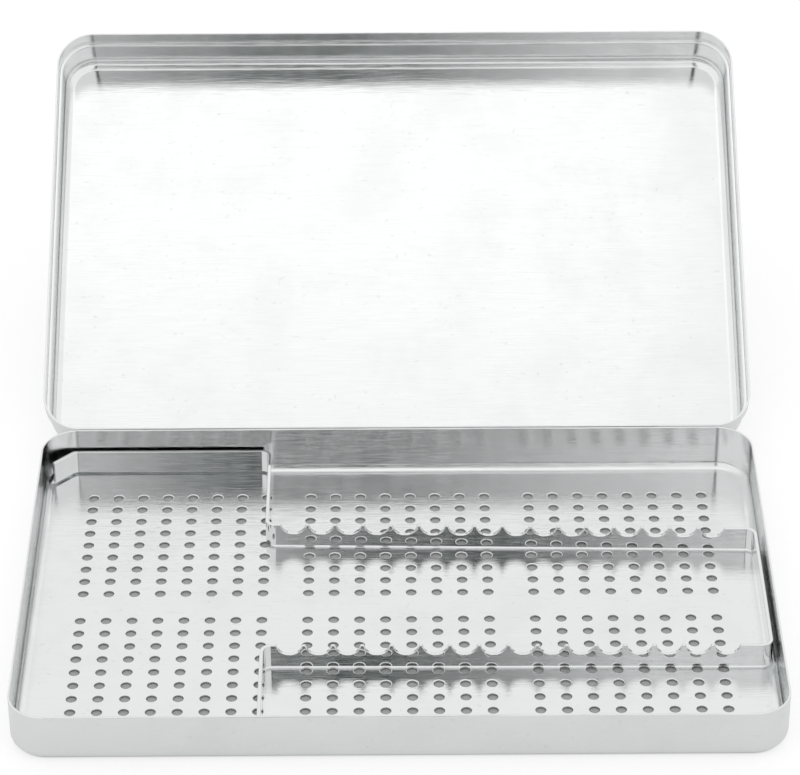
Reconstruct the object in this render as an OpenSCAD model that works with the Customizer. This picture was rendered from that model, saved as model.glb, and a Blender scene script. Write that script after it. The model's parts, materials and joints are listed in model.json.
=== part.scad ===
// Instrument cassette: a drawn, perforated tray, a hinged drawn lid and a loose rail rack.
// The origin is the middle of the tray's underside, +X to the right, +Y to the hinge, +Z up.
// The lid is drawn in its open place, tipped back until its rear edge is at the table.

/* [Tray] */
// Outer width of the tray, left to right
tray_w = 284; // [240:1:340]
// Outer depth of the tray, front to hinge
tray_d = 183; // [160:1:230]
// Height of the tray's rim above the table
tray_h = 20; // [17:0.5:30]
// Outer corner radius of the tray in plan
corner_r = 14; // [10:0.5:22]
// Thickness of the sheet that the tray and the lid are drawn from
sheet_t = 0.8; // [0.6:0.05:1.2]
// Outer radius between the tray's floor and its walls
floor_bend_r = 4.2; // [3.2:0.1:6]

/* [Drain holes] */
// Diameter of each drain hole
hole_d = 4; // [2:0.1:5]
// Distance between holes, left to right
hole_pitch_x = 9.9; // [8:0.1:10.2]
// Distance between holes, front to back
hole_pitch_y = 7.9; // [6.5:0.05:8]
// Columns of holes in each group
group_cols = 8; // [2:1:8]
// Rows of holes in each group
group_rows = 9; // [2:1:9]
// Bare strip between two groups side by side, hole centre to hole centre
group_gap_x = 17.5; // [14:0.5:19]
// Bare strip between the front and back groups, hole centre to hole centre
group_gap_y = 17; // [14:0.5:19]
// How far the whole field of holes sits towards the hinge
field_shift_y = -0.75; // [-2:0.05:2]

/* [Lid] */
// Height of the closed lid above the tray's rim
lid_rise = 16; // [12:0.5:30]
// Depth of the lid's skirt around the outside of the tray
skirt_h = 6.5; // [5:0.5:10]
// Gap between the tray's wall and the skirt
skirt_gap = 0.6; // [0.5:0.05:1]
// Gap between the tray's rim and the lid's shoulder when closed
rim_gap = 0.3; // [0.2:0.05:0.5]
// Outer radius between the lid's top and its walls
lid_bend_r = 4.8; // [2.5:0.1:6]
// Gap between the table and the open lid's rear edge
table_gap = 0.05; // [0.02:0.01:0.3]

/* [Rack] */
// Height of the rack's strip
strip_h = 9.6; // [8:0.2:12]
// Thickness of the rack's strip
strip_t = 1.4; // [0.8:0.1:2]
// Bend radius to the middle of the strip
strip_bend_r = 3.5; // [2.5:0.1:6]
// Gap between the strip and the tray's walls
wall_gap = 1.3; // [1.2:0.1:2]
// Gap between the strip's legs and the bend that they stand on
seat_gap = 0.1; // [0.05:0.05:0.3]
// Place of the cross strips that part off the left bay
divider_x = -51.2; // [-70:0.1:-40]
// Place of the rear rail at the divider
rear_rail_y = 38.3; // [30:0.1:50]
// How much further forward the rear rail's right end lies
rear_rail_skew = 4.4; // [0:0.1:8]
// Place of the front rail at the divider
front_rail_y = -38.4; // [-50:0.1:-30]
// How much further forward the front rail's right end lies
front_rail_skew = 1.3; // [0:0.1:8]
// Length of the slanted tab at each end of the strip
tab_len = 11; // [8:0.5:12]
// Number of instrument notches in each rail
notch_count = 16; // [4:1:16]
// Radius of an instrument notch
notch_r = 4.85; // [3.5:0.05:5]
// Height of a notch's centre above the strip's top edge
notch_lift = 0.7; // [0:0.1:1.5]
// Flat left between two notches
notch_land = 1.3; // [0.8:0.1:1.4]
// From the divider to the first notch's edge
first_notch = 5.5; // [5:0.5:8]

/* [Hinge] */
// Distance from the tray's end to the middle of each hinge
hinge_inset = 58; // [48:1:70]
// Length of each hinge
hinge_l = 40; // [24:1:60]
// Thickness of the hinge leaves
leaf_t = 0.6; // [0.5:0.05:0.8]
// Diameter of the hinge pin
pin_d = 1.2; // [1:0.1:1.6]
// Radial play of the pin in the knuckles
pin_play = 0.05; // [0.03:0.01:0.08]
// Height of the hinge pin above the skirt's lower edge
pin_rise = 1.2; // [1:0.1:1.5]
// Gap between neighbouring pieces of the hinge
hinge_gap = 0.35; // [0.3:0.05:0.6]
// Height of the leaf that is welded to the tray
tray_leaf_h = 8; // [5:0.5:9]
// Height of the leaf that is welded to the skirt, above the pin
lid_leaf_h = 4.8; // [3:0.1:5]

/* [Hidden] */
$fn = 64;

// How far a cut runs past a face
cut = 1;

// Lid, in its closed place
shoulder_z = tray_h + rim_gap;
lid_top_z = tray_h + lid_rise;
skirt_z = tray_h - skirt_h;
skirt_out = skirt_gap + sheet_t;

// Hinge: knuckles rolled from the leaf, pin axis behind the skirt
hinge_x = tray_w / 2 - hinge_inset;
bore_r = pin_d / 2 + pin_play;
knuckle_r = bore_r + leaf_t;
pin_head_t = 0.5;
pin_y = tray_d / 2 + skirt_out + leaf_t + hinge_gap + knuckle_r;
pin_z = skirt_z + pin_rise;
end_knuckle_l = hinge_l / 4;
mid_knuckle_l = hinge_l - 2 * end_knuckle_l - 2 * hinge_gap;
flange_z = skirt_z - hinge_gap - leaf_t;

// The lid opens until the bend at its rear edge comes down to the table
bend_back = pin_y - (tray_d / 2 - lid_bend_r);
bend_up = lid_top_z - lid_bend_r - pin_z;
open_angle = atan2(bend_back, bend_up)
    + acos(-(pin_z - lid_bend_r - table_gap) / norm([bend_back, bend_up]));

// Rack: its legs along the walls stand on the bend at the foot of the wall
floor_r = floor_bend_r - sheet_t;
bend_rise = floor_r - sqrt(pow(floor_r, 2) - pow(floor_r - wall_gap, 2));
strip_z = sheet_t + bend_rise + seat_gap;

// Rack route to the middle of the strip, from the rear left tab to the front left tab
leg_x = tray_w / 2 - sheet_t - wall_gap - strip_t / 2;
leg_y = tray_d / 2 - sheet_t - wall_gap - strip_t / 2;
tab_run = tab_len * cos(45);
tab_start = tray_w / 2 - corner_r + 2;
rear_rail_right_y = rear_rail_y - rear_rail_skew;
front_rail_right_y = front_rail_y - front_rail_skew;
rack_route = [
    [-tab_start - tab_run, leg_y - tab_run],
    [-tab_start, leg_y],
    [divider_x, leg_y],
    [divider_x, rear_rail_y],
    [leg_x, rear_rail_right_y],
    [leg_x, front_rail_right_y],
    [divider_x, front_rail_y],
    [divider_x, -leg_y],
    [-tab_start, -leg_y],
    [-tab_start - tab_run, -leg_y + tab_run]
];
route_end = len(rack_route) - 1;
bend_steps = 12;
notch_half = sqrt(pow(notch_r, 2) - pow(notch_lift, 2));
notch_pitch = 2 * notch_half + notch_land;

// Heading of each straight stretch, and how far the strip turns at each point
function span(i) = rack_route[i + 1] - rack_route[i];
function heading(i) = atan2(span(i)[1], span(i)[0]);
function wrap(a) = a > 180 ? a - 360 : a < -180 ? a + 360 : a;
function turn(i) = wrap(heading(i) - heading(i - 1));
function ahead(a) = [cos(a), sin(a)];
function left(a) = [-sin(a), cos(a)];

// Points of one face of the strip, so far to the left of its middle, around one bend
function bend_centre(i) = rack_route[i]
    - strip_bend_r * tan(abs(turn(i)) / 2) * ahead(heading(i - 1))
    + strip_bend_r * sign(turn(i)) * left(heading(i - 1));
function bend_face(i, offset) = [
    for (k = [0 : bend_steps])
        bend_centre(i) + (offset - sign(turn(i)) * strip_bend_r)
            * left(heading(i - 1) + turn(i) * k / bend_steps)
];
function strip_face(offset) = [
    rack_route[0] + offset * left(heading(0)),
    for (i = [1 : route_end - 1]) each bend_face(i, offset),
    rack_route[route_end] + offset * left(heading(route_end - 1))
];
function reversed(list) = [for (i = [len(list) - 1 : -1 : 0]) list[i]];

module quarter_disc(r) {
    intersection() {
        circle(r);
        translate([0, -r]) square([r, r]);
    }
}

module bend(r, t) {
    difference() {
        quarter_disc(r);
        circle(r - t);
    }
}

// Profiles across the drawn sheet's wall: x runs outwards from the centre of a plan corner
module tray_profile() {
    square([corner_r - floor_bend_r, sheet_t]);
    translate([corner_r - floor_bend_r, floor_bend_r]) bend(floor_bend_r, sheet_t);
    translate([corner_r - sheet_t, floor_bend_r]) square([sheet_t, tray_h - floor_bend_r]);
}

module lid_profile() {
    translate([0, lid_top_z - sheet_t]) square([corner_r - lid_bend_r, sheet_t]);
    translate([corner_r - lid_bend_r, lid_top_z - lid_bend_r])
        mirror([0, 1]) bend(lid_bend_r, sheet_t);
    translate([corner_r - sheet_t, shoulder_z])
        square([sheet_t, lid_top_z - lid_bend_r - shoulder_z]);
    translate([corner_r - sheet_t, shoulder_z]) square([skirt_out, sheet_t]);
    translate([corner_r + skirt_gap, shoulder_z]) mirror([0, 1]) quarter_disc(sheet_t);
    translate([corner_r + skirt_gap, skirt_z]) square([sheet_t, shoulder_z - skirt_z]);
}

// Wall and floor margin of a drawn pan: four straight sides and four round corners
module drawn_edge() {
    side_x = tray_w / 2 - corner_r;
    side_y = tray_d / 2 - corner_r;
    for (sx = [0, 1], sy = [0, 1]) {
        mirror([sx, 0, 0]) mirror([0, sy, 0]) translate([side_x, side_y, 0])
            rotate_extrude(angle = 90) children();
    }
    for (sx = [0, 1]) {
        mirror([sx, 0, 0]) translate([side_x, side_y, 0])
            rotate([90, 0, 0]) linear_extrude(2 * side_y) children();
    }
    for (sy = [0, 1]) {
        mirror([0, sy, 0]) translate([-side_x, side_y, 0])
            rotate([90, 0, 90]) linear_extrude(2 * side_x) children();
    }
}

module middle_plate(z) {
    plate_w = tray_w - 2 * corner_r;
    plate_d = tray_d - 2 * corner_r;
    translate([-plate_w / 2, -plate_d / 2, z]) cube([plate_w, plate_d, sheet_t]);
}

// Three groups of columns by two groups of rows; the bends at the edge stay whole
module drain_holes() {
    group_w = (group_cols - 1) * hole_pitch_x;
    group_d = (group_rows - 1) * hole_pitch_y;
    flat_x = tray_w / 2 - corner_r - hole_d / 2;
    flat_y = tray_d / 2 - corner_r - hole_d / 2;
    for (gx = [-1, 0, 1], gy = [-1, 1], i = [0 : group_cols - 1], j = [0 : group_rows - 1]) {
        x = gx * (group_w + group_gap_x) - group_w / 2 + i * hole_pitch_x;
        y = field_shift_y + gy * (group_d + group_gap_y) / 2 - group_d / 2 + j * hole_pitch_y;
        if (abs(x) < flat_x && abs(y) < flat_y)
            translate([x, y, -cut]) cylinder(d = hole_d, h = sheet_t + 2 * cut, $fn = 24);
    }
}

module tray() {
    color("gainsboro") {
        drawn_edge() tray_profile();
        difference() {
            middle_plate(0);
            drain_holes();
        }
    }
}

// Turns what is drawn in the lid's closed place back to the open place
module opened() {
    translate([0, pin_y, pin_z]) rotate([-open_angle, 0, 0])
        translate([0, -pin_y, -pin_z]) children();
}

module lid() {
    color("gainsboro") opened() {
        drawn_edge() lid_profile();
        middle_plate(lid_top_z - sheet_t);
    }
}

// Row of round notches in the top edge of a rail
module notch_row(y_left, y_right) {
    for (k = [0 : notch_count - 1]) {
        x = divider_x + first_notch + notch_half + k * notch_pitch;
        y = y_left + (y_right - y_left) * (x - divider_x) / (leg_x - divider_x);
        translate([x, y, strip_h + notch_lift]) rotate([90, 0, 0])
            cylinder(r = notch_r, h = 4 * strip_t, center = true, $fn = 48);
    }
}

module instrument_rack() {
    color("silver") translate([0, 0, strip_z]) difference() {
        linear_extrude(strip_h)
            polygon(concat(strip_face(-strip_t / 2), reversed(strip_face(strip_t / 2))));
        notch_row(rear_rail_y, rear_rail_right_y);
        notch_row(front_rail_y, front_rail_right_y);
    }
}

// Tube rolled around the pin, from one place along the pin to another
module knuckle(from, to) {
    translate([from, pin_y, pin_z]) rotate([0, 90, 0])
        cylinder(r = knuckle_r, h = to - from);
}

module pin_bore() {
    translate([-hinge_l, pin_y, pin_z]) rotate([0, 90, 0])
        cylinder(r = bore_r, h = 2 * hinge_l);
}

// Leaf on the tray's rear wall: it passes under the skirt and curls up behind the pin
module tray_leaf() {
    half = hinge_l / 2;
    wall_y = tray_d / 2;
    flange_d = pin_y + knuckle_r - wall_y;
    color("darkgray") difference() {
        union() {
            translate([-half, wall_y, flange_z + leaf_t - tray_leaf_h])
                cube([hinge_l, leaf_t, tray_leaf_h]);
            for (from = [-half, half - end_knuckle_l]) {
                translate([from, wall_y, flange_z]) cube([end_knuckle_l, flange_d, leaf_t]);
                translate([from, pin_y + knuckle_r - leaf_t, flange_z])
                    cube([end_knuckle_l, leaf_t, pin_z - flange_z]);
                knuckle(from, from + end_knuckle_l);
            }
        }
        pin_bore();
    }
}

// Leaf on the outside of the lid's skirt, with the middle knuckle
module lid_leaf() {
    half = hinge_l / 2;
    leaf_y = tray_d / 2 + skirt_out;
    color("darkgray") difference() {
        union() {
            translate([-half, leaf_y, pin_z]) cube([hinge_l, leaf_t, lid_leaf_h]);
            translate([-mid_knuckle_l / 2, leaf_y, pin_z + bore_r])
                cube([mid_knuckle_l, pin_y - leaf_y, leaf_t]);
            knuckle(-mid_knuckle_l / 2, mid_knuckle_l / 2);
        }
        pin_bore();
    }
}

// Wire pin with a flattened head at each end
module hinge_pin() {
    half = hinge_l / 2;
    color("dimgray") translate([0, pin_y, pin_z]) rotate([0, 90, 0]) {
        cylinder(d = pin_d, h = hinge_l + 2 * pin_play, center = true);
        for (side = [0, 1]) mirror([0, 0, side])
            translate([0, 0, half + pin_play]) cylinder(r = knuckle_r, h = pin_head_t);
    }
}

module tray_hinge_leaf_left() { translate([-hinge_x, 0, 0]) tray_leaf(); }
module tray_hinge_leaf_right() { translate([hinge_x, 0, 0]) tray_leaf(); }
module lid_hinge_leaf_left() { opened() translate([-hinge_x, 0, 0]) lid_leaf(); }
module lid_hinge_leaf_right() { opened() translate([hinge_x, 0, 0]) lid_leaf(); }
module hinge_pin_left() { translate([-hinge_x, 0, 0]) hinge_pin(); }
module hinge_pin_right() { translate([hinge_x, 0, 0]) hinge_pin(); }

tray();
lid();
instrument_rack();
tray_hinge_leaf_left();
tray_hinge_leaf_right();
lid_hinge_leaf_left();
lid_hinge_leaf_right();
hinge_pin_left();
hinge_pin_right();
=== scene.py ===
"""Dental instrument cassette: drawn steel tray and lid, and a bent strip rack with notches.

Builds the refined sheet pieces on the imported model, gives every piece its steel,
and sets up the table, the light and the camera.
"""

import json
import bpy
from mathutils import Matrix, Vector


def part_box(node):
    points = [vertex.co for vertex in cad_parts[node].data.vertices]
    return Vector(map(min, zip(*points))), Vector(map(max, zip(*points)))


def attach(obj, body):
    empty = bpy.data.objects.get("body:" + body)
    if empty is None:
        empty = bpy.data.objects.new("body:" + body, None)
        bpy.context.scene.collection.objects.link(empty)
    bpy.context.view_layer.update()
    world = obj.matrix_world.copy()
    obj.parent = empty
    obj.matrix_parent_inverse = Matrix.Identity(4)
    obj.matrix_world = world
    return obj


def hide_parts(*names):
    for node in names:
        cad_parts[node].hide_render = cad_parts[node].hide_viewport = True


bl_info = {
    "name": "Dental Instrument Cassette",
    "version": (1, 0, 0),
    "blender": (4, 5, 0),
    "location": "View3D > Sidebar > Cassette",
    "description": "Drawn tray, hinged lid and notched rack of an instrument cassette",
    "category": "Add Mesh",
}

from math import acos, atan2, cos, hypot, pi, radians, sin, sqrt, tan

import bmesh
import bpy
from mathutils import Matrix, Vector

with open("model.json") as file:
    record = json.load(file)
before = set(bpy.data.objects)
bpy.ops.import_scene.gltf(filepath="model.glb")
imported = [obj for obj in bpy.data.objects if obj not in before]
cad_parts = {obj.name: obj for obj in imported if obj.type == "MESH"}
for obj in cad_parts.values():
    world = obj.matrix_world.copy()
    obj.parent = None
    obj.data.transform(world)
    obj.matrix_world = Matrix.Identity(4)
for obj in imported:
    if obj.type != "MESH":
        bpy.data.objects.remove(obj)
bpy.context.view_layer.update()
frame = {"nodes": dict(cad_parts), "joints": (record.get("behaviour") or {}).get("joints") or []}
TRAY_LOW, TRAY_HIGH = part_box("tray")
RACK_LOW, RACK_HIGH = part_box("instrument_rack")
LID_HINGE = next(j for j in frame["joints"] if j["name"] == "lid_hinge")
PIN = Vector(LID_HINGE["pos_m"])

CORNER_STEPS = 14
# The table's painted shade below the tray fades in over this width.
PAINTED_SHADE_FADE = 0.002  # width of the soft edge of the shade below the tray
STAND_TURN = 0.024  # how far the dark stand is turned from straight ahead, in radians
STAND_SIDE = (0.03, 0.095)  # where the stand starts and ends to fade sideways, in radians
STAND_FOOT = (0.12, 0.20)  # rise of the look, as a sine, over which the stand fades in
STAND_TOP = (0.80, 0.92)  # and over which it fades out
BEND_STEPS = 8
EDGE_STEPS = 3
HOLE_STEPS = 20


def length(name, text, default):
    return bpy.props.FloatProperty(
        name=name, description=text, default=default, min=0, precision=5, unit="LENGTH"
    )


def share(name, text, default, top=1.0):
    return bpy.props.FloatProperty(name=name, description=text, default=default, min=0, max=top)


def tint(name, text, default):
    return bpy.props.FloatVectorProperty(
        name=name, description=text, default=default, min=0, max=1, subtype="COLOR"
    )


class CassetteTraySizes(bpy.types.PropertyGroup):
    width: length("Width", "Outer width, left to right", TRAY_HIGH.x - TRAY_LOW.x)
    depth: length("Depth", "Outer depth, front to hinge", TRAY_HIGH.y - TRAY_LOW.y)
    height: length("Height", "Height of the rim above the table", TRAY_HIGH.z)
    corner: length("Corner radius", "Outer corner radius in plan", 0.014)
    sheet: length("Sheet", "Thickness of the sheet", 0.0008)
    bend: length("Floor bend", "Outer radius between floor and wall", 0.0042)
    edge: length("Edge rounding", "Rounding of the rim and of the hole edges", 0.0003)
    hole: length("Hole", "Diameter of a drain hole", 0.004)
    pitch_x: length("Pitch across", "Distance between holes, left to right", 0.0099)
    pitch_y: length("Pitch in depth", "Distance between holes, front to back", 0.0079)
    columns: bpy.props.IntProperty(
        name="Columns", description="Columns of holes in a group", default=8, min=1
    )
    rows: bpy.props.IntProperty(
        name="Rows", description="Rows of holes in a group", default=9, min=1
    )
    gap_x: length("Gap across", "Hole centre to hole centre between groups side by side", 0.0175)
    gap_y: length("Gap in depth", "Hole centre to hole centre between front and back", 0.017)
    shift_y: bpy.props.FloatProperty(
        name="Field shift",
        description="How far the field of holes sits towards the hinge",
        default=-0.00075,
        precision=5,
        unit="LENGTH",
    )


class CassetteLidSizes(bpy.types.PropertyGroup):
    rise: length("Rise", "Height of the closed lid above the tray's rim", 0.016)
    skirt: length("Skirt", "Depth of the skirt around the tray", 0.0065)
    skirt_gap: length("Skirt gap", "Gap between the tray's wall and the skirt", 0.0006)
    rim_gap: length("Rim gap", "Gap between the tray's rim and the lid's shoulder", 0.0003)
    bend: length("Top bend", "Outer radius between the lid's top and its wall", 0.0048)
    joggle: length("Joggle", "Rounding where the wall steps out to the skirt", 0.001)
    table_gap: length("Table gap", "Gap between the table and the open lid's edge", 0.00005)


class CassetteRackSizes(bpy.types.PropertyGroup):
    top: length("Top", "Height of the strip's top edge", RACK_HIGH.z)
    bottom: length("Bottom", "Height of the strip's bottom edge", RACK_LOW.z)
    leg_x: length("Right leg", "Middle of the strip along the right wall", RACK_HIGH.x - 0.0007)
    leg_y: length("Rear leg", "Middle of the strip along the rear wall", RACK_HIGH.y - 0.0007)
    strip: length("Strip", "Thickness of the strip", 0.0014)
    bend: length("Bend", "Bend radius to the middle of the strip", 0.0035)
    divider_x: bpy.props.FloatProperty(
        name="Divider",
        description="Place of the cross strips",
        default=-0.0512,
        precision=5,
        unit="LENGTH",
    )
    rear_y: length("Rear rail", "Distance of the rear rail from the middle", 0.0383)
    front_y: length("Front rail", "Distance of the front rail from the middle", 0.0384)
    rear_skew: length("Rear skew", "How far the rear rail's right end lies forward", 0.0044)
    front_skew: length("Front skew", "How far the front rail's right end lies forward", 0.0013)
    tab: length("Tab", "Length of the slanted tab at each end", 0.011)
    notches: bpy.props.IntProperty(
        name="Notches", description="Instrument notches in each rail", default=16, min=1
    )
    notch: length("Notch", "Radius of a notch", 0.00485)
    lift: length("Notch lift", "Height of a notch's centre above the strip", 0.0007)
    land: length("Land", "Flat left between two notches", 0.0013)
    first: length("First notch", "From the divider to the first notch's edge", 0.0055)
    edge: length("Edge rounding", "Rounding of the strip's edges", 0.00025)
    peak: length("Peak rounding", "Rounding of the corners between notch and land", 0.00035)


class CassetteSteelLooks(bpy.types.PropertyGroup):
    tray: tint("Tray", "Colour of the tray's steel", (0.80, 0.81, 0.81))
    lid: tint("Lid", "Colour of the lid's steel", (0.82, 0.83, 0.83))
    rack: tint("Rack", "Colour of the rack's steel", (0.78, 0.79, 0.79))
    hinge: tint("Hinge", "Colour of the hinge's steel", (0.66, 0.67, 0.67))
    tray_haze: share("Tray haze", "Roughness of the tray", 0.09)
    lid_haze: share("Lid haze", "Roughness of the lid", 0.10)
    rack_haze: share("Rack haze", "Roughness of the rack", 0.03)
    hinge_haze: share("Hinge haze", "Roughness of the hinge", 0.3)
    waves: length("Waves", "Depth of the slow waves in the sheet", 0.00008)
    tray_grain: length("Tray grain", "Depth of the rolling grain in the tray", 0.000027)
    lid_grain: length("Lid grain", "Depth of the rolling grain in the lid", 0.00002)
    rack_grain: length("Rack grain", "Depth of the rolling grain in the rack", 0.0000005)


class CassetteStudio(bpy.types.PropertyGroup):
    table: tint("Table", "Colour of the table", (0.40, 0.40, 0.40))
    room: tint("Room", "Colour of the room's light", (1.0, 1.0, 1.0))
    dark: tint("Dark", "Colour of the dark stand in front", (0.05, 0.062, 0.058))
    shown: share("Shown", "Glow that the table adds where the camera sees it", 0.64)
    mirrored: share("Mirrored", "Glow that the table adds where the steel mirrors it", 0.44)
    softbox: bpy.props.FloatProperty(
        name="Softbox",
        description="Power of the overhead softbox",
        default=0.15,
        min=0,
        unit="POWER",
    )
    lens: bpy.props.FloatProperty(
        name="Lens",
        description="Focal length on a 36 mm wide sensor",
        default=158.9,
        min=1,
        unit="CAMERA",
    )
    camera_place: bpy.props.FloatVectorProperty(
        name="Camera place",
        description="Where the camera stands",
        default=(-0.002588, -1.080104, 0.822631),
        subtype="TRANSLATION",
        unit="LENGTH",
    )
    camera_turn: bpy.props.FloatVectorProperty(
        name="Camera turn",
        description="How the camera is turned",
        default=(0.98165, 0.00318, -0.00536),
        subtype="EULER",
        unit="ROTATION",
    )


# Shader graphs


class Socket:
    """An output socket, so that sums on it can be written as Python expressions."""

    def __init__(self, graph, socket):
        self.graph = graph
        self.socket = socket

    def __add__(self, other):
        return self.graph.maths("ADD", self, other)

    def __radd__(self, other):
        return self.graph.maths("ADD", other, self)

    def __sub__(self, other):
        return self.graph.maths("SUBTRACT", self, other)

    def __rsub__(self, other):
        return self.graph.maths("SUBTRACT", other, self)

    def __mul__(self, other):
        return self.graph.maths("MULTIPLY", self, other)

    def __rmul__(self, other):
        return self.graph.maths("MULTIPLY", other, self)

    def __truediv__(self, other):
        return self.graph.maths("DIVIDE", self, other)

    def __rtruediv__(self, other):
        return self.graph.maths("DIVIDE", other, self)


class Graph:
    """One material's or world's nodes."""

    def __init__(self, owner):
        owner.use_nodes = True
        self.tree = owner.node_tree
        self.tree.nodes.clear()

    def node(self, kind, settings=None, sockets=None):
        """Makes a node: its settings first, then the values or links of its sockets."""
        made = self.tree.nodes.new(kind)
        for key, value in (settings or {}).items():
            setattr(made, key, value)
        for key, value in (sockets or {}).items():
            if isinstance(value, Socket):
                self.tree.links.new(value.socket, made.inputs[key])
            else:
                made.inputs[key].default_value = value
        return Outputs(self, made)

    def maths(self, operation, a, b):
        return self.node("ShaderNodeMath", {"operation": operation}, {0: a, 1: b})[0]

    def ramp(self, value, low, high, out_low=0.0, out_high=1.0):
        """A smooth step from out_low to out_high as value goes from low to high."""
        return self.node(
            "ShaderNodeMapRange",
            {"interpolation_type": "SMOOTHSTEP"},
            {
                "Value": value,
                "From Min": low,
                "From Max": high,
                "To Min": out_low,
                "To Max": out_high,
            },
        )["Result"]

    def noise(self, place, scale, detail=2.0, roughness=0.5, stretch=None):
        """Grey noise around 0.5, at so many waves a metre."""
        if stretch:
            place = self.node(
                "ShaderNodeMapping", None, {"Vector": place, "Scale": stretch}
            )["Vector"]
        return self.node(
            "ShaderNodeTexNoise",
            None,
            {"Vector": place, "Scale": scale, "Detail": detail, "Roughness": roughness},
        )["Fac"]

    def tinted(self, colour, factor):
        """A colour made lighter or darker by a grey factor."""
        return self.node(
            "ShaderNodeVectorMath", {"operation": "SCALE"}, {"Vector": colour[:3], "Scale": factor}
        )["Vector"]


class Outputs:
    """A node's outputs, by name or number."""

    def __init__(self, graph, made):
        self.graph = graph
        self.made = made

    def __getitem__(self, key):
        return Socket(self.graph, self.made.outputs[key])


def steel(name, colour, haze, looks, grain, waves=1.0, smears=0.05):
    """Stainless sheet: slow waves, rolling grain, hazy smears and a few hair scratches."""
    material = bpy.data.materials.new(name)
    graph = Graph(material)
    place = graph.node("ShaderNodeTexCoord")["Object"]
    slow = graph.noise(place, 16, detail=1.0)
    streaks = graph.noise(place, 55, detail=3.0, roughness=0.6, stretch=(1, 26, 26))
    lines = graph.noise(place, 55, detail=1.0, stretch=(1, 110, 110))
    smear = graph.ramp(graph.noise(place, 34, detail=5.0, roughness=0.62), 0.42, 0.68)
    spots = graph.ramp(graph.noise(place, 420, detail=2.0), 0.66, 0.74)
    hairs = graph.ramp(
        graph.noise(place, 75, detail=4.0, roughness=0.8, stretch=(1, 9, 3)), 0.70, 0.74
    )
    shade = 1.0 - smear * 0.03 - spots * 0.05 + (streaks - 0.5) * 0.05
    rough = haze + smear * smears + spots * 0.08 + hairs * 0.10 + (streaks - 0.5) * 0.04
    height = slow * (looks.waves * waves) + lines * grain
    bump = graph.node("ShaderNodeBump", None, {"Strength": 1.0, "Distance": 1.0, "Height": height})
    surface = graph.node(
        "ShaderNodeBsdfPrincipled",
        None,
        {
            "Base Color": graph.tinted(colour, shade),
            "Metallic": 1.0,
            "Roughness": rough,
            "Normal": bump["Normal"],
        },
    )
    graph.node("ShaderNodeOutputMaterial", None, {"Surface": surface["BSDF"]})
    return material


# Mesh code


def arc(centre, radius, start, end, count):
    """Points of an arc from start to end, in degrees."""
    turns = [radians(a) for a in steps(start, end, count)]
    return [(centre[0] + radius * cos(a), centre[1] + radius * sin(a)) for a in turns]


def steps(start, end, count):
    return [start + (end - start) * k / count for k in range(count + 1)]


def plan_ring(sizes, reach):
    """Rounded rectangle in plan: reach is measured outwards from the corner centres."""
    side_x = sizes.width / 2 - sizes.corner
    side_y = sizes.depth / 2 - sizes.corner
    ring = []
    for k, (sx, sy) in enumerate(((1, 1), (-1, 1), (-1, -1), (1, -1))):
        ring += arc((sx * side_x, sy * side_y), reach, 90 * k, 90 * k + 90, CORNER_STEPS)
    return ring


def loop_of(bm, points):
    return [bm.verts.new(point) for point in points]


def join_loops(bm, first, second):
    """Closed band of faces between two loops."""
    n = len(first)
    for k in range(n):
        bm.faces.new((first[k], first[(k + 1) % n], second[(k + 1) % n], second[k]))


def edges_of(bm, loop):
    n = len(loop)
    found = [bm.edges.get((loop[k], loop[(k + 1) % n])) for k in range(n)]
    return [
        edge or bm.edges.new((loop[k], loop[(k + 1) % n])) for k, edge in enumerate(found)
    ]


def drawn_sheet(bm, sizes, profile):
    """Sweeps a profile of (reach, z) around the plan and returns its first and last loop."""
    loops = [
        loop_of(bm, [(x, y, z) for x, y in plan_ring(sizes, reach)]) for reach, z in profile
    ]
    for first, second in zip(loops, loops[1:]):
        join_loops(bm, first, second)
    return loops[0], loops[-1]


def finished(name, bm, body, node, material, normals=None):
    """Turns the mesh into a smooth piece that rides on its body and stands for its node."""
    bmesh.ops.recalc_face_normals(bm, faces=bm.faces)
    mesh = bpy.data.meshes.new(name)
    bm.to_mesh(mesh)
    bm.free()
    mesh.shade_smooth()
    mesh.materials.append(material)
    piece = bpy.data.objects.new(name, mesh)
    bpy.context.scene.collection.objects.link(piece)
    if normals:
        mesh.normals_split_custom_set_from_vertices(normals)
    else:
        flats = piece.modifiers.new("Keep flats flat", "WEIGHTED_NORMAL")
        flats.mode = "FACE_AREA"
        flats.weight = 90
    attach(piece, body)
    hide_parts(node)
    return piece


def tray_profile(t):
    """Across the tray's sheet, from the top of the floor over the rim to the underside."""
    flat = t.corner - t.bend
    inner = t.corner - t.sheet
    edge = t.edge
    return (
        arc((flat, t.bend), t.bend - t.sheet, -90, 0, BEND_STEPS)
        + arc((inner + edge, t.height - edge), edge, 180, 90, EDGE_STEPS)
        + arc((t.corner - edge, t.height - edge), edge, 90, 0, EDGE_STEPS)
        + arc((flat, t.bend), t.bend, 0, -90, BEND_STEPS)
    )


def hole_places(t):
    """Centres of the drain holes: three groups of columns by two groups of rows."""
    group_w = (t.columns - 1) * t.pitch_x
    group_d = (t.rows - 1) * t.pitch_y
    for gx in (-1, 0, 1):
        for gy in (-1, 1):
            for i in range(t.columns):
                for j in range(t.rows):
                    yield (
                        gx * (group_w + t.gap_x) - group_w / 2 + i * t.pitch_x,
                        t.shift_y + gy * (group_d + t.gap_y) / 2 - group_d / 2 + j * t.pitch_y,
                    )


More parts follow.
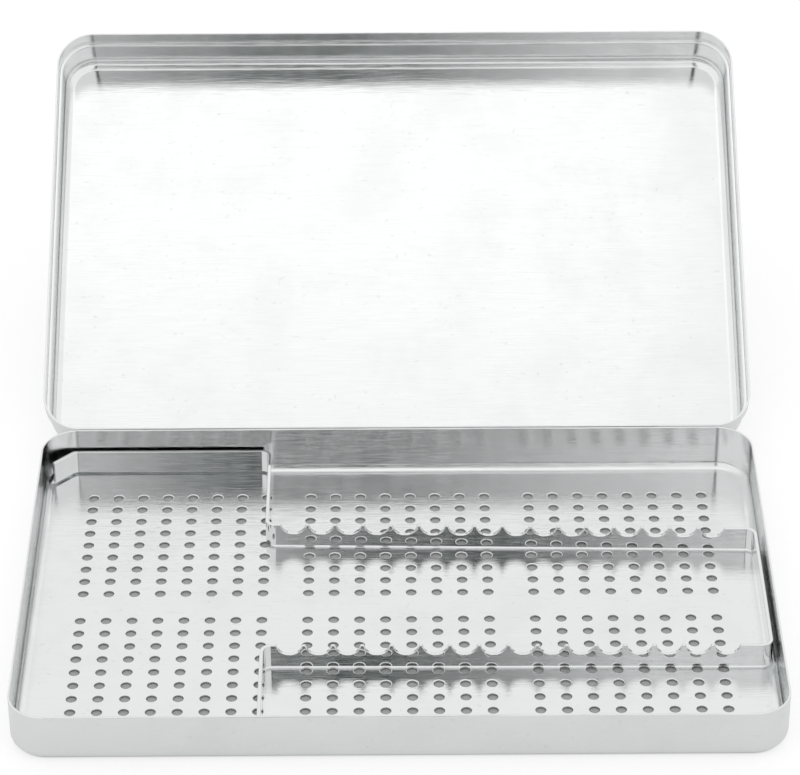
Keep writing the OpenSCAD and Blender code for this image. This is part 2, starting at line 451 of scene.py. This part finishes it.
def drain_hole(bm, t, centre):
    """Punched hole with a soft edge above and below; returns its loops in the two faces."""
    radius, edge, flat = t.hole / 2, t.edge * 0.7, t.edge
    profile = (
        [(radius + edge + flat, t.sheet)]
        + arc((radius + edge, t.sheet - edge), edge, 90, 180, 2)
        + arc((radius + edge, edge), edge, 180, 270, 2)
        + [(radius + edge + flat, 0)]
    )
    around = [2 * pi * k / HOLE_STEPS for k in range(HOLE_STEPS)]
    loops = [
        loop_of(bm, [(centre[0] + r * cos(a), centre[1] + r * sin(a), z) for a in around])
        for r, z in profile
    ]
    for first, second in zip(loops, loops[1:]):
        join_loops(bm, first, second)
    return loops[0], loops[-1]


def lid_profile(t, lid):
    """Across the closed lid's sheet, from inside the top around the skirt to the outside."""
    top = t.height + lid.rise
    flat = t.corner - lid.bend
    inner = t.corner - t.sheet
    skirt_in = t.corner + lid.skirt_gap
    skirt_out = skirt_in + t.sheet
    shoulder = t.height + lid.rim_gap
    low = t.height - lid.skirt
    edge, soft, tight = t.edge, lid.joggle, lid.joggle * 0.4
    return (
        arc((flat, top - lid.bend), lid.bend - t.sheet, 90, 0, BEND_STEPS)
        + arc((inner + soft, shoulder + soft), soft, 180, 270, BEND_STEPS)
        + arc((skirt_in - tight * 0.7, shoulder - tight * 0.7), tight * 0.7, 90, 0, EDGE_STEPS)
        + arc((skirt_in + edge, low + edge), edge, 180, 270, EDGE_STEPS)
        + arc((skirt_out - edge, low + edge), edge, 270, 360, EDGE_STEPS)
        + arc((skirt_out - soft, shoulder + t.sheet - soft), soft, 0, 90, BEND_STEPS)
        + arc((t.corner + tight, shoulder + t.sheet + tight), tight, 270, 180, EDGE_STEPS)
        + arc((flat, top - lid.bend), lid.bend, 0, 90, BEND_STEPS)
    )


def open_angle(t, lid):
    """How far the lid turns back until the bend at its rear edge comes down to the table."""
    back = PIN.y - (t.depth / 2 - lid.bend)
    up = t.height + lid.rise - lid.bend - PIN.z
    return atan2(back, up) + acos(-(PIN.z - lid.bend - lid.table_gap) / hypot(back, up))


def opened(t, lid):
    """Turns the closed lid back to its open place."""
    return (
        Matrix.Translation(PIN)
        @ Matrix.Rotation(-open_angle(t, lid), 4, "X")
        @ Matrix.Translation(-PIN)
    )


def notch_outline(rack, start):
    """Top edge of a rail with round notches, as (x, height, slope of the edge)."""
    soft = rack.peak
    half = sqrt(rack.notch**2 - rack.lift**2)
    low = rack.top - soft
    reach = sqrt((rack.notch + soft) ** 2 - (rack.lift + soft) ** 2)
    meet = 90 - atan2(reach, rack.lift + soft) * 180 / pi
    outline = []
    for k in range(rack.notches):
        centre = start + rack.first + half + k * (2 * half + rack.land)
        sides = (
            ((centre - reach, low), soft, 90, meet, 4, 0, meet - 90),
            (
                (centre, rack.top + rack.lift),
                rack.notch,
                180 + meet,
                360 - meet,
                16,
                meet - 90,
                90 - meet,
            ),
            ((centre + reach, low), soft, 180 - meet, 90, 4, 90 - meet, 0),
        )
        for middle, radius, start_turn, end_turn, count, first, last in sides:
            points = arc(middle, radius, start_turn, end_turn, count)
            slopes = [radians(slope) for slope in steps(first, last, count)]
            outline += [(x, z, slope) for (x, z), slope in zip(points, slopes)]
    return outline


def left(way):
    return Vector((-way.y, way.x))


def rack_stations(t, rack):
    """Stations along the strip: place, its direction, and its top edge's height and slope."""
    run = rack.tab * cos(radians(45))
    start = t.width / 2 - t.corner + 0.002
    x, y, d = rack.leg_x, rack.leg_y, rack.divider_x
    route = [
        Vector(point)
        for point in (
            (-start - run, y - run), (-start, y), (d, y), (d, rack.rear_y),
            (x, rack.rear_y - rack.rear_skew), (x, -rack.front_y - rack.front_skew),
            (d, -rack.front_y),
            (d, -y), (-start, -y), (-start - run, -y + run),
        )
    ]
    headings = [(b - a).normalized() for a, b in zip(route, route[1:])]
    stations = []

    def add(place, way, top=rack.top, slope=0.0):
        stations.append((place, way, top, slope))

    add(route[0], headings[0])
    last = route[0]
    for i in range(1, len(route)):
        way = headings[i - 1]
        if i < len(headings):
            turn = way.angle_signed(headings[i]) * -1
            back = rack.bend * tan(abs(turn) / 2)
            bend_start = route[i] - way * back
        else:
            turn, bend_start = 0, route[i]
        straight = bend_start - last
        if i in (4, 6):
            for px, top, slope in notch_outline(rack, d)[:: 1 if way.x > 0 else -1]:
                add(last + way * ((px - last.x) / way.x), way, top, slope if way.x > 0 else -slope)
        else:
            for k in (0.02, 0.5, 0.98):
                add(last + straight * k, way)
        add(bend_start, way)
        if i < len(headings):
            side = 1 if turn > 0 else -1
            centre = bend_start + left(way) * rack.bend * side
            for k in range(1, 13):
                swing = Matrix.Rotation(turn * k / 12, 2)
                add(centre + swing @ (bend_start - centre), swing @ way)
            last = stations[-1][0]
    return stations


def strip_ring(rack, station):
    """Rounded cross-section of the strip at a station: its points and their normals."""
    place, way, top, slope = station
    side, edge = left(way).to_3d(), rack.edge
    upwards = Vector((0, 0, cos(slope))) - way.to_3d() * sin(slope)
    half = rack.strip / 2 - edge
    points, normals = [], []
    for sx, sz, first in ((1, -1, -90), (1, 1, 0), (-1, 1, 90), (-1, -1, 180)):
        height = top if sz > 0 else rack.bottom
        lift = upwards if sz > 0 else Vector((0, 0, 1))
        centre = place.to_3d() + side * half * sx + Vector((0, 0, height)) - lift * edge * sz
        for turn in steps(first, first + 90, 3):
            normal = side * cos(radians(turn)) + lift * sin(radians(turn))
            points.append(centre + normal * edge)
            normals.append(normal)
    return points, normals


# Pieces


class CASSETTE_OT_tray(bpy.types.Operator):
    """Drawn tray with a rounded rim and 432 punched drain holes"""

    bl_idname = "cassette.tray"
    bl_label = "Tray"

    def execute(self, context):
        t = context.scene.cassette_tray
        looks = context.scene.cassette_looks
        bm = bmesh.new()
        above, below = drawn_sheet(bm, t, tray_profile(t))
        faces = [edges_of(bm, above), edges_of(bm, below)]
        for centre in hole_places(t):
            for edges, loop in zip(faces, drain_hole(bm, t, centre)):
                edges.extend(edges_of(bm, loop))
        for edges in faces:
            made = bmesh.ops.triangle_fill(bm, use_beauty=True, use_dissolve=False, edges=edges)
            if not made["geom"]:
                raise RuntimeError("the tray's floor could not be filled")
        finished(
            "drawn_tray", bm, "tray_body", "tray",
            steel("tray_steel", looks.tray, looks.tray_haze, looks, looks.tray_grain),
        )
        return {"FINISHED"}


class CASSETTE_OT_lid(bpy.types.Operator):
    """Drawn lid with a joggled skirt, tipped back to the table"""

    bl_idname = "cassette.lid"
    bl_label = "Lid"

    def execute(self, context):
        t = context.scene.cassette_tray
        lid = context.scene.cassette_lid
        looks = context.scene.cassette_looks
        bm = bmesh.new()
        inside, outside = drawn_sheet(bm, t, lid_profile(t, lid))
        bm.faces.new(inside)
        bm.faces.new(outside)
        bm.transform(opened(t, lid))
        finished(
            "drawn_lid", bm, "lid_body", "lid",
            steel("lid_steel", looks.lid, looks.lid_haze, looks, looks.lid_grain, waves=0.8),
        )
        return {"FINISHED"}


class CASSETTE_OT_rack(bpy.types.Operator):
    """Loose rack: one strip on edge, bent back and forth, with two notched rails"""

    bl_idname = "cassette.rack"
    bl_label = "Rack"

    def execute(self, context):
        t = context.scene.cassette_tray
        rack = context.scene.cassette_rack
        looks = context.scene.cassette_looks
        bm = bmesh.new()
        loops, normals = [], []
        for station in rack_stations(t, rack):
            ring, facing = strip_ring(rack, station)
            loops.append(loop_of(bm, ring))
            normals += facing
        for first, second in zip(loops, loops[1:]):
            join_loops(bm, first, second)
        bm.faces.new(loops[0])
        bm.faces.new(loops[-1])
        finished(
            "bent_rack", bm, "rack_body", "instrument_rack",
            steel("rack_steel", looks.rack, looks.rack_haze, looks, looks.rack_grain, waves=0.35),
            normals,
        )
        return {"FINISHED"}


class CASSETTE_OT_hinges(bpy.types.Operator):
    """Satin steel on the hinge leaves and pins"""

    bl_idname = "cassette.hinges"
    bl_label = "Hinges"

    def execute(self, context):
        looks = context.scene.cassette_looks
        satin = steel(
            "hinge_steel", looks.hinge, looks.hinge_haze, looks, looks.rack_grain, waves=0.2
        )
        nodes = [node for name, node in frame["nodes"].items() if "hinge" in name]
        if len(nodes) != 6:
            raise RuntimeError("the packed model should have four hinge leaves and two pins")
        for node in nodes:
            node.data.materials.clear()
            node.data.materials.append(satin)
            soft = node.modifiers.new("Soft edges", "BEVEL")
            soft.width = 0.00008
            soft.segments = 2
            soft.limit_method = "ANGLE"
            soft.angle_limit = radians(50)
        return {"FINISHED"}


def table_material(studio, sizes):
    """Pale table: white where it lies open, with painted shade below the tray's flat floor, where
    its glow is taken off.
    """
    material = bpy.data.materials.new("table_white")
    graph = Graph(material)
    rays = graph.node("ShaderNodeLightPath")
    mirrored = rays["Is Glossy Ray"] + rays["Is Transmission Ray"]
    place = graph.node("ShaderNodeSeparateXYZ", None, {
        "Vector": graph.node("ShaderNodeNewGeometry")["Position"]
    })
    # Painted shade: inside the rounded footprint of the tray's flat floor the table's glow is
    # taken off, so the table there, and through the drain holes, is darker.
    past = 0.0
    for axis, reach in (("X", sizes.width / 2), ("Y", sizes.depth / 2)):
        aside = graph.node("ShaderNodeMath", {"operation": "ABSOLUTE"}, {0: place[axis]})[0]
        over = graph.maths("MAXIMUM", aside - (reach - sizes.corner), 0.0)
        past = over * over + past
    edge = sizes.corner - sizes.bend * 0.9
    shade = graph.ramp(graph.maths("POWER", past, 0.5), edge, edge + PAINTED_SHADE_FADE, 1.0, 0.0)
    lift = (rays["Is Camera Ray"] * studio.shown + mirrored * studio.mirrored) * (1.0 - shade)
    paint = graph.node("ShaderNodeBsdfDiffuse", None, {"Color": (*studio.table, 1)})["BSDF"]
    glow = graph.node(
        "ShaderNodeEmission", None, {"Color": (1, 1, 1, 1), "Strength": lift}
    )["Emission"]
    both = graph.node("ShaderNodeAddShader", None, {0: paint, 1: glow})[0]
    graph.node("ShaderNodeOutputMaterial", None, {"Surface": both})
    return material


def room_light(world, studio):
    """Even white room with a dark stand in front of the cassette, where the camera is."""
    graph = Graph(world)
    way = graph.node("ShaderNodeTexCoord")["Generated"]
    parts = graph.node("ShaderNodeSeparateXYZ", None, {"Vector": way})
    sideways = graph.maths("ARCTAN2", parts["X"], -1.0 * parts["Y"])
    aside = graph.node("ShaderNodeMath", {"operation": "ABSOLUTE"}, {0: sideways + STAND_TURN})[0]
    up = parts["Z"]
    stand = (
        graph.ramp(aside, *STAND_SIDE, 1.0, 0.0)
        * graph.ramp(up, *STAND_FOOT)
        * graph.ramp(up, *STAND_TOP, 1.0, 0.0)
    )
    level = 1.0 + graph.ramp(up, 0.8, 1.0, 0.0, 0.04)
    seen = graph.node("ShaderNodeLightPath")["Is Camera Ray"]
    colour = graph.node(
        "ShaderNodeMix",
        {"data_type": "RGBA"},
        {"Factor": stand * (1.0 - seen), 6: (*studio.room, 1), 7: (*studio.dark, 1)},
    )[2]
    light = graph.node(
        "ShaderNodeBackground", None, {"Color": colour, "Strength": level * (1.0 - seen) + seen}
    )
    graph.node("ShaderNodeOutputWorld", None, {"Surface": light["Background"]})


class CASSETTE_OT_stage(bpy.types.Operator):
    """Pale table, soft light and the camera"""

    bl_idname = "cassette.stage"
    bl_label = "Stage"

    def execute(self, context):
        scene = context.scene
        studio = scene.cassette_studio
        bm = bmesh.new()
        bmesh.ops.create_grid(bm, x_segments=1, y_segments=1, size=6.0)
        mesh = bpy.data.meshes.new("table")
        bm.to_mesh(mesh)
        bm.free()
        mesh.materials.append(table_material(studio, scene.cassette_tray))
        table = bpy.data.objects.new("table", mesh)
        table.location.z = -0.0002
        scene.collection.objects.link(table)

        scene.world = scene.world or bpy.data.worlds.new("room")
        room_light(scene.world, studio)

        lamp = bpy.data.lights.new("softbox", "AREA")
        lamp.shape = "RECTANGLE"
        lamp.size, lamp.size_y = 0.62, 0.42
        lamp.energy = studio.softbox
        softbox = bpy.data.objects.new("softbox", lamp)
        softbox.location = (-0.05, 0.19, 1.5)
        scene.collection.objects.link(softbox)

        lens = bpy.data.cameras.new("camera")
        lens.sensor_fit = "HORIZONTAL"
        lens.sensor_width = 36
        lens.lens = studio.lens
        lens.clip_start = 0.01
        camera = bpy.data.objects.new("camera", lens)
        camera.location = studio.camera_place
        camera.rotation_euler = studio.camera_turn
        scene.collection.objects.link(camera)
        scene.camera = camera
        scene.view_settings.view_transform = "Standard"
        return {"FINISHED"}


class CASSETTE_PT_panel(bpy.types.Panel):
    """Sizes, looks and pieces of the cassette"""

    bl_label = "Instrument Cassette"
    bl_idname = "CASSETTE_PT_panel"
    bl_space_type = "VIEW_3D"
    bl_region_type = "UI"
    bl_category = "Cassette"

    def draw(self, context):
        for operator in OPERATORS:
            self.layout.operator(operator.bl_idname)
        for name, kind in GROUPS.items():
            box = self.layout.box()
            group = getattr(context.scene, name)
            for key in kind.__annotations__:
                box.prop(group, key)


GROUPS = {
    "cassette_tray": CassetteTraySizes,
    "cassette_lid": CassetteLidSizes,
    "cassette_rack": CassetteRackSizes,
    "cassette_looks": CassetteSteelLooks,
    "cassette_studio": CassetteStudio,
}
OPERATORS = (
    CASSETTE_OT_tray,
    CASSETTE_OT_lid,
    CASSETTE_OT_rack,
    CASSETTE_OT_hinges,
    CASSETTE_OT_stage,
)


def register():
    for kind in (*GROUPS.values(), *OPERATORS, CASSETTE_PT_panel):
        bpy.utils.register_class(kind)
    for name, kind in GROUPS.items():
        setattr(bpy.types.Scene, name, bpy.props.PointerProperty(type=kind))


def unregister():
    for name in GROUPS:
        delattr(bpy.types.Scene, name)
    for kind in (CASSETTE_PT_panel, *reversed(OPERATORS), *reversed(GROUPS.values())):
        bpy.utils.unregister_class(kind)


def main():
    register()
    bpy.ops.cassette.tray()
    bpy.ops.cassette.lid()
    bpy.ops.cassette.rack()
    bpy.ops.cassette.hinges()
    bpy.ops.cassette.stage()


if __name__ == "__main__":
    main()
